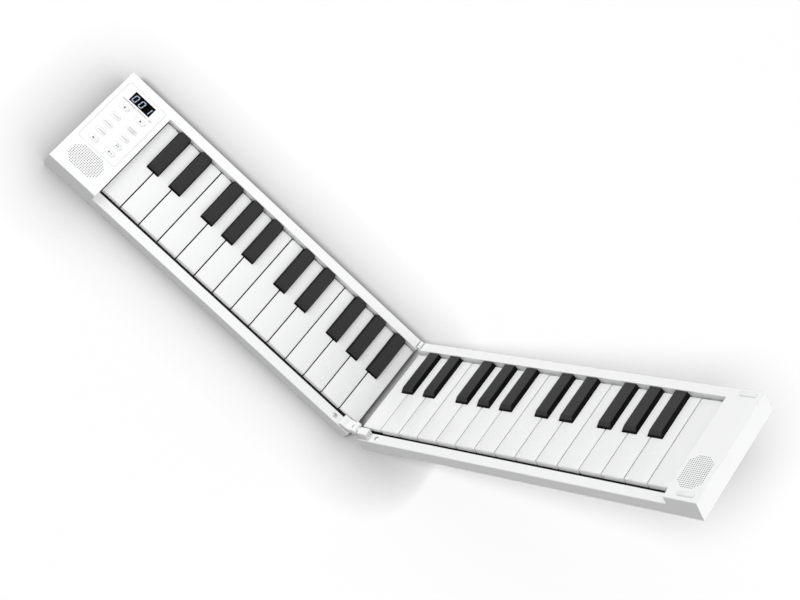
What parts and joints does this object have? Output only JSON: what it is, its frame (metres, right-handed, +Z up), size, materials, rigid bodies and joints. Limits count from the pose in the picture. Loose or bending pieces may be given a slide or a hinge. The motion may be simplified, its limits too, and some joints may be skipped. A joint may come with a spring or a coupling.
{
  "type": "folding electronic keyboard",
  "caption": "Slim folding piano keyboard: two flat halves hinged in the middle, white and black keys, control panel with display and buttons, speaker grilles and closing pads.",
  "frame": {"origin": "centre of the footprint on the table, at the bottom of the feet", "axes": "+X along the keyboard from the control panel towards the folded-up half, +Y from the player to the back edge, +Z up"},
  "size_m": [0.5976, 0.1252, 0.3571],
  "materials": {
    "case": "fine satin",
    "white_keys": "smooth gloss",
    "black_keys": "satin black",
    "panel": "printed film",
    "display": "dark clear window",
    "buttons": "soft matt",
    "screens": "black woven mesh",
    "hinges": "fine satin",
    "pins": "turned steel",
    "speakers": "black frame and cone",
    "boards": "green circuit board",
    "battery": "foil pouch",
    "feet": "soft matt"
  },
  "bodies": {
    "left_half": {"left_top_cover": "case", "left_bottom_case": "case", "front_hinge_left_leaf": "hinges", "back_hinge_left_leaf": "hinges", "hinge_pins": "pins", "control_panel": "panel", "display_window": "display", "left_speaker_screen": "screens", "left_speaker": "speakers", "main_board": "boards", "left_contact_strip": "boards", "left_feet": "feet"},
    "right_half": {"right_top_cover": "case", "right_bottom_case": "case", "front_hinge_right_leaf": "hinges", "back_hinge_right_leaf": "hinges", "right_speaker_screen": "screens", "right_speaker": "speakers", "battery_pack": "battery", "right_contact_strip": "boards", "right_pads": "feet"},
    "button_pad": {"button_pad": "buttons"},
    "power_button": {"power_button": "case"},
    "white_key_1": {"white_key_1": "white_keys"},
    "white_key_2": {"white_key_2": "white_keys"},
    "white_key_3": {"white_key_3": "white_keys"},
    "white_key_4": {"white_key_4": "white_keys"},
    "white_key_5": {"white_key_5": "white_keys"},
    "white_key_6": {"white_key_6": "white_keys"},
    "white_key_7": {"white_key_7": "white_keys"},
    "white_key_8": {"white_key_8": "white_keys"},
    "white_key_9": {"white_key_9": "white_keys"},
    "white_key_10": {"white_key_10": "white_keys"},
    "white_key_11": {"white_key_11": "white_keys"},
    "white_key_12": {"white_key_12": "white_keys"},
    "white_key_13": {"white_key_13": "white_keys"},
    "white_key_14": {"white_key_14": "white_keys"},
    "white_key_15": {"white_key_15": "white_keys"},
    "white_key_16": {"white_key_16": "white_keys"},
    "white_key_17": {"white_key_17": "white_keys"},
    "white_key_18": {"white_key_18": "white_keys"},
    "white_key_19": {"white_key_19": "white_keys"},
    "white_key_20": {"white_key_20": "white_keys"},
    "white_key_21": {"white_key_21": "white_keys"},
    "white_key_22": {"white_key_22": "white_keys"},
    "white_key_23": {"white_key_23": "white_keys"},
    "white_key_24": {"white_key_24": "white_keys"},
    "white_key_25": {"white_key_25": "white_keys"},
    "white_key_26": {"white_key_26": "white_keys"},
    "white_key_27": {"white_key_27": "white_keys"},
    "white_key_28": {"white_key_28": "white_keys"},
    "white_key_29": {"white_key_29": "white_keys"},
    "black_keys_1": {"black_keys_1": "black_keys"},
    "black_keys_2": {"black_keys_2": "black_keys"},
    "black_keys_3": {"black_keys_3": "black_keys"},
    "black_keys_4": {"black_keys_4": "black_keys"},
    "black_keys_5": {"black_keys_5": "black_keys"},
    "black_keys_6": {"black_keys_6": "black_keys"},
    "black_keys_7": {"black_keys_7": "black_keys"},
    "black_keys_8": {"black_keys_8": "black_keys"}
  },
  "joints": [
    {"name": "fold", "type": "hinge", "parent": "left_half", "child": "right_half", "pos_m": [0.08719, 0, 0.023], "axis": [0, -1, 0], "range_deg": [-60, 119.9]},
    {"name": "press_buttons", "type": "slide", "parent": "left_half", "child": "button_pad", "axis": [0, 0, -1], "range_m": [0, 0.0004], "stiffness_N_per_m": 900, "springref_m": -0.0002},
    {"name": "press_power_button", "type": "slide", "parent": "left_half", "child": "power_button", "axis": [0, -1, 0], "range_m": [0, 0.0006], "stiffness_N_per_m": 900, "springref_m": -0.0002},
    {"name": "press_white_key_1", "type": "hinge", "parent": "left_half", "child": "white_key_1", "pos_m": [-0.23026, 0.0569, 0.0124], "axis": [1, 0, 0], "range_deg": [0, 2], "stiffness_Nm_per_rad": 1.2, "springref_deg": -3.44},
    {"name": "press_white_key_2", "type": "hinge", "parent": "left_half", "child": "white_key_2", "pos_m": [-0.20676, 0.0569, 0.0124], "axis": [1, 0, 0], "range_deg": [0, 2], "stiffness_Nm_per_rad": 1.2, "springref_deg": -3.44},
    {"name": "press_white_key_3", "type": "hinge", "parent": "left_half", "child": "white_key_3", "pos_m": [-0.18326, 0.0569, 0.0124], "axis": [1, 0, 0], "range_deg": [0, 2], "stiffness_Nm_per_rad": 1.2, "springref_deg": -3.44},
    {"name": "press_white_key_4", "type": "hinge", "parent": "left_half", "child": "white_key_4", "pos_m": [-0.15976, 0.0569, 0.0124], "axis": [1, 0, 0], "range_deg": [0, 2], "stiffness_Nm_per_rad": 1.2, "springref_deg": -3.44},
    {"name": "press_white_key_5", "type": "hinge", "parent": "left_half", "child": "white_key_5", "pos_m": [-0.13626, 0.0569, 0.0124], "axis": [1, 0, 0], "range_deg": [0, 2], "stiffness_Nm_per_rad": 1.2, "springref_deg": -3.44},
    {"name": "press_white_key_6", "type": "hinge", "parent": "left_half", "child": "white_key_6", "pos_m": [-0.11276, 0.0569, 0.0124], "axis": [1, 0, 0], "range_deg": [0, 2], "stiffness_Nm_per_rad": 1.2, "springref_deg": -3.44},
    {"name": "press_white_key_7", "type": "hinge", "parent": "left_half", "child": "white_key_7", "pos_m": [-0.08926, 0.0569, 0.0124], "axis": [1, 0, 0], "range_deg": [0, 2], "stiffness_Nm_per_rad": 1.2, "springref_deg": -3.44},
    {"name": "press_white_key_8", "type": "hinge", "parent": "left_half", "child": "white_key_8", "pos_m": [-0.06576, 0.0569, 0.0124], "axis": [1, 0, 0], "range_deg": [0, 2], "stiffness_Nm_per_rad": 1.2, "springref_deg": -3.44},
    {"name": "press_white_key_9", "type": "hinge", "parent": "left_half", "child": "white_key_9", "pos_m": [-0.04226, 0.0569, 0.0124], "axis": [1, 0, 0], "range_deg": [0, 2], "stiffness_Nm_per_rad": 1.2, "springref_deg": -3.44},
    {"name": "press_white_key_10", "type": "hinge", "parent": "left_half", "child": "white_key_10", "pos_m": [-0.01876, 0.0569, 0.0124], "axis": [1, 0, 0], "range_deg": [0, 2], "stiffness_Nm_per_rad": 1.2, "springref_deg": -3.44},
    {"name": "press_white_key_11", "type": "hinge", "parent": "left_half", "child": "white_key_11", "pos_m": [0.00474, 0.0569, 0.0124], "axis": [1, 0, 0], "range_deg": [0, 2], "stiffness_Nm_per_rad": 1.2, "springref_deg": -3.44},
    {"name": "press_white_key_12", "type": "hinge", "parent": "left_half", "child": "white_key_12", "pos_m": [0.02824, 0.0569, 0.0124], "axis": [1, 0, 0], "range_deg": [0, 2], "stiffness_Nm_per_rad": 1.2, "springref_deg": -3.44},
    {"name": "press_white_key_13", "type": "hinge", "parent": "left_half", "child": "white_key_13", "pos_m": [0.05174, 0.0569, 0.0124], "axis": [1, 0, 0], "range_deg": [0, 2], "stiffness_Nm_per_rad": 1.2, "springref_deg": -3.44},
    {"name": "press_white_key_14", "type": "hinge", "parent": "left_half", "child": "white_key_14", "pos_m": [0.07524, 0.0569, 0.0124], "axis": [1, 0, 0], "range_deg": [0, 2], "stiffness_Nm_per_rad": 1.2, "springref_deg": -3.44},
    {"name": "press_white_key_15", "type": "hinge", "parent": "right_half", "child": "white_key_15", "pos_m": [0.10235, 0.0569, 0.02805], "axis": [0.5, 0, 0.866], "range_deg": [0, 2], "stiffness_Nm_per_rad": 1.2, "springref_deg": -3.44},
    {"name": "press_white_key_16", "type": "hinge", "parent": "right_half", "child": "white_key_16", "pos_m": [0.1141, 0.0569, 0.0484], "axis": [0.5, 0, 0.866], "range_deg": [0, 2], "stiffness_Nm_per_rad": 1.2, "springref_deg": -3.44},
    {"name": "press_white_key_17", "type": "hinge", "parent": "right_half", "child": "white_key_17", "pos_m": [0.12585, 0.0569, 0.06875], "axis": [0.5, 0, 0.866], "range_deg": [0, 2], "stiffness_Nm_per_rad": 1.2, "springref_deg": -3.44},
    {"name": "press_white_key_18", "type": "hinge", "parent": "right_half", "child": "white_key_18", "pos_m": [0.13759, 0.0569, 0.0891], "axis": [0.5, 0, 0.866], "range_deg": [0, 2], "stiffness_Nm_per_rad": 1.2, "springref_deg": -3.44},
    {"name": "press_white_key_19", "type": "hinge", "parent": "right_half", "child": "white_key_19", "pos_m": [0.14935, 0.0569, 0.10945], "axis": [0.5, 0, 0.866], "range_deg": [0, 2], "stiffness_Nm_per_rad": 1.2, "springref_deg": -3.44},
    {"name": "press_white_key_20", "type": "hinge", "parent": "right_half", "child": "white_key_20", "pos_m": [0.16109, 0.0569, 0.12981], "axis": [0.5, 0, 0.866], "range_deg": [0, 2], "stiffness_Nm_per_rad": 1.2, "springref_deg": -3.44},
    {"name": "press_white_key_21", "type": "hinge", "parent": "right_half", "child": "white_key_21", "pos_m": [0.17284, 0.0569, 0.15016], "axis": [0.5, 0, 0.866], "range_deg": [0, 2], "stiffness_Nm_per_rad": 1.2, "springref_deg": -3.44},
    {"name": "press_white_key_22", "type": "hinge", "parent": "right_half", "child": "white_key_22", "pos_m": [0.1846, 0.0569, 0.17051], "axis": [0.5, 0, 0.866], "range_deg": [0, 2], "stiffness_Nm_per_rad": 1.2, "springref_deg": -3.44},
    {"name": "press_white_key_23", "type": "hinge", "parent": "right_half", "child": "white_key_23", "pos_m": [0.19634, 0.0569, 0.19086], "axis": [0.5, 0, 0.866], "range_deg": [0, 2], "stiffness_Nm_per_rad": 1.2, "springref_deg": -3.44},
    {"name": "press_white_key_24", "type": "hinge", "parent": "right_half", "child": "white_key_24", "pos_m": [0.2081, 0.0569, 0.21121], "axis": [0.5, 0, 0.866], "range_deg": [0, 2], "stiffness_Nm_per_rad": 1.2, "springref_deg": -3.44},
    {"name": "press_white_key_25", "type": "hinge", "parent": "right_half", "child": "white_key_25", "pos_m": [0.21985, 0.0569, 0.23156], "axis": [0.5, 0, 0.866], "range_deg": [0, 2], "stiffness_Nm_per_rad": 1.2, "springref_deg": -3.44},
    {"name": "press_white_key_26", "type": "hinge", "parent": "right_half", "child": "white_key_26", "pos_m": [0.23159, 0.0569, 0.25192], "axis": [0.5, 0, 0.866], "range_deg": [0, 2], "stiffness_Nm_per_rad": 1.2, "springref_deg": -3.44},
    {"name": "press_white_key_27", "type": "hinge", "parent": "right_half", "child": "white_key_27", "pos_m": [0.24335, 0.0569, 0.27227], "axis": [0.5, 0, 0.866], "range_deg": [0, 2], "stiffness_Nm_per_rad": 1.2, "springref_deg": -3.44},
    {"name": "press_white_key_28", "type": "hinge", "parent": "right_half", "child": "white_key_28", "pos_m": [0.2551, 0.0569, 0.29262], "axis": [0.5, 0, 0.866], "range_deg": [0, 2], "stiffness_Nm_per_rad": 1.2, "springref_deg": -3.44},
    {"name": "press_white_key_29", "type": "hinge", "parent": "right_half", "child": "white_key_29", "pos_m": [0.26684, 0.0569, 0.31297], "axis": [0.5, 0, 0.866], "range_deg": [0, 2], "stiffness_Nm_per_rad": 1.2, "springref_deg": -3.44},
    {"name": "press_black_keys_1", "type": "hinge", "parent": "left_half", "child": "black_keys_1", "pos_m": [-0.20676, 0.0569, 0.0124], "axis": [1, 0, 0], "range_deg": [0, 2.4], "stiffness_Nm_per_rad": 1.2, "springref_deg": -3.44},
    {"name": "press_black_keys_2", "type": "hinge", "parent": "left_half", "child": "black_keys_2", "pos_m": [-0.12451, 0.0569, 0.0124], "axis": [1, 0, 0], "range_deg": [0, 2.4], "stiffness_Nm_per_rad": 1.2, "springref_deg": -3.44},
    {"name": "press_black_keys_3", "type": "hinge", "parent": "left_half", "child": "black_keys_3", "pos_m": [-0.04226, 0.0569, 0.0124], "axis": [1, 0, 0], "range_deg": [0, 2.4], "stiffness_Nm_per_rad": 1.2, "springref_deg": -3.44},
    {"name": "press_black_keys_4", "type": "hinge", "parent": "left_half", "child": "black_keys_4", "pos_m": [0.03999, 0.0569, 0.0124], "axis": [1, 0, 0], "range_deg": [0, 2.4], "stiffness_Nm_per_rad": 1.2, "springref_deg": -3.44},
    {"name": "press_black_keys_5", "type": "hinge", "parent": "right_half", "child": "black_keys_5", "pos_m": [0.1141, 0.0569, 0.0484], "axis": [0.5, 0, 0.866], "range_deg": [0, 2.4], "stiffness_Nm_per_rad": 1.2, "springref_deg": -3.44},
    {"name": "press_black_keys_6", "type": "hinge", "parent": "right_half", "child": "black_keys_6", "pos_m": [0.15522, 0.0569, 0.11963], "axis": [0.5, 0, 0.866], "range_deg": [0, 2.4], "stiffness_Nm_per_rad": 1.2, "springref_deg": -3.44},
    {"name": "press_black_keys_7", "type": "hinge", "parent": "right_half", "child": "black_keys_7", "pos_m": [0.19634, 0.0569, 0.19086], "axis": [0.5, 0, 0.866], "range_deg": [0, 2.4], "stiffness_Nm_per_rad": 1.2, "springref_deg": -3.44},
    {"name": "press_black_keys_8", "type": "hinge", "parent": "right_half", "child": "black_keys_8", "pos_m": [0.23747, 0.0569, 0.26209], "axis": [0.5, 0, 0.866], "range_deg": [0, 2.4], "stiffness_Nm_per_rad": 1.2, "springref_deg": -3.44}
  ]
}
